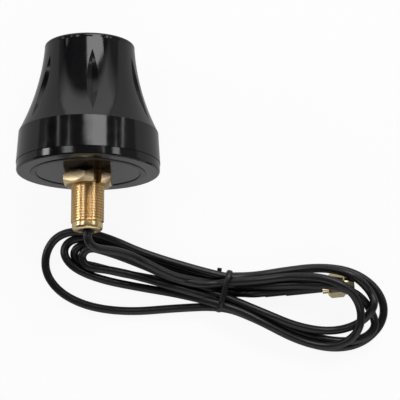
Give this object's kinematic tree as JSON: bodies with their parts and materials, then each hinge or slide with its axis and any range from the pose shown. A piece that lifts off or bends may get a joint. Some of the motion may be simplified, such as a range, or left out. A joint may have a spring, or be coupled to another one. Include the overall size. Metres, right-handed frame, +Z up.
{
  "type": "dual-band antenna",
  "caption": "Flared screw-mount antenna on a hollow threaded stud with a slotted nut, its coaxial lead tied in a hank and ending in a threaded coaxial plug.",
  "frame": {"origin": "on the supporting surface, under the middle of the antenna without its cord", "axes": "+Y along the lying antenna, from the stud to the top of the radome; +X towards the plug; +Z up"},
  "size_m": [0.1387, 0.1189, 0.0533],
  "materials": {
    "radome_plastic": "high-gloss black moulding",
    "base_plastic": "gloss black moulding",
    "rubber_seal": "matte",
    "plated_stud": "satin gold plate over brass",
    "plated_nut": "satin gold plate over brass",
    "sheet_brass": "bare",
    "steel_screws": "zinc plate",
    "board": "solder mask over glass laminate",
    "copper": "bare copper foil",
    "solder": "solder",
    "cord_jacket": "smooth jacket",
    "braid": "tinned braid",
    "white_insulation": "smooth",
    "shrink_sleeve": "heat-shrink sleeve",
    "gold_plate": "bright pale gold plate",
    "tie_plastic": "coated wire"
  },
  "bodies": {
    "antenna": {"radome": "radome_plastic", "base_plate": "base_plastic", "seal_ring": "rubber_seal", "stud": "plated_stud", "ground_plate": "sheet_brass", "ground_screws": "steel_screws", "antenna_board": "board", "low_band_element": "copper", "high_band_element": "copper", "left_board_bracket": "sheet_brass", "right_board_bracket": "sheet_brass", "feed_jacket": "cord_jacket", "feed_braid": "braid", "feed_dielectric": "white_insulation", "feed_conductor": "copper", "feed_ferrule": "gold_plate", "stud_grommet": "rubber_seal", "feed_solder": "solder", "plug_body": "gold_plate", "snap_ring": "sheet_brass", "plug_pin": "gold_plate", "plug_insulator": "white_insulation", "plug_gasket": "rubber_seal", "crimp_ferrule": "gold_plate", "large_sleeve": "shrink_sleeve", "small_sleeve": "shrink_sleeve", "cord_lead": "cord_jacket", "cord_hank": "cord_jacket", "cord_tail": "cord_jacket", "wire_tie": "tie_plastic"},
    "slotted_nut": {"mounting_nut": "plated_nut"},
    "coupling": {"coupling_nut": "gold_plate"}
  },
  "joints": [
    {"name": "nut_travel", "type": "slide", "parent": "antenna", "child": "slotted_nut", "axis": [0, -0.9647, 0.2635], "range_m": [0, 0.013]},
    {"name": "coupling_spin", "type": "hinge", "parent": "antenna", "child": "coupling", "pos_m": [0.09332, -0.05643, 0.0047], "axis": [0.9949, 0.1011, 0], "continuous": true}
  ]
}
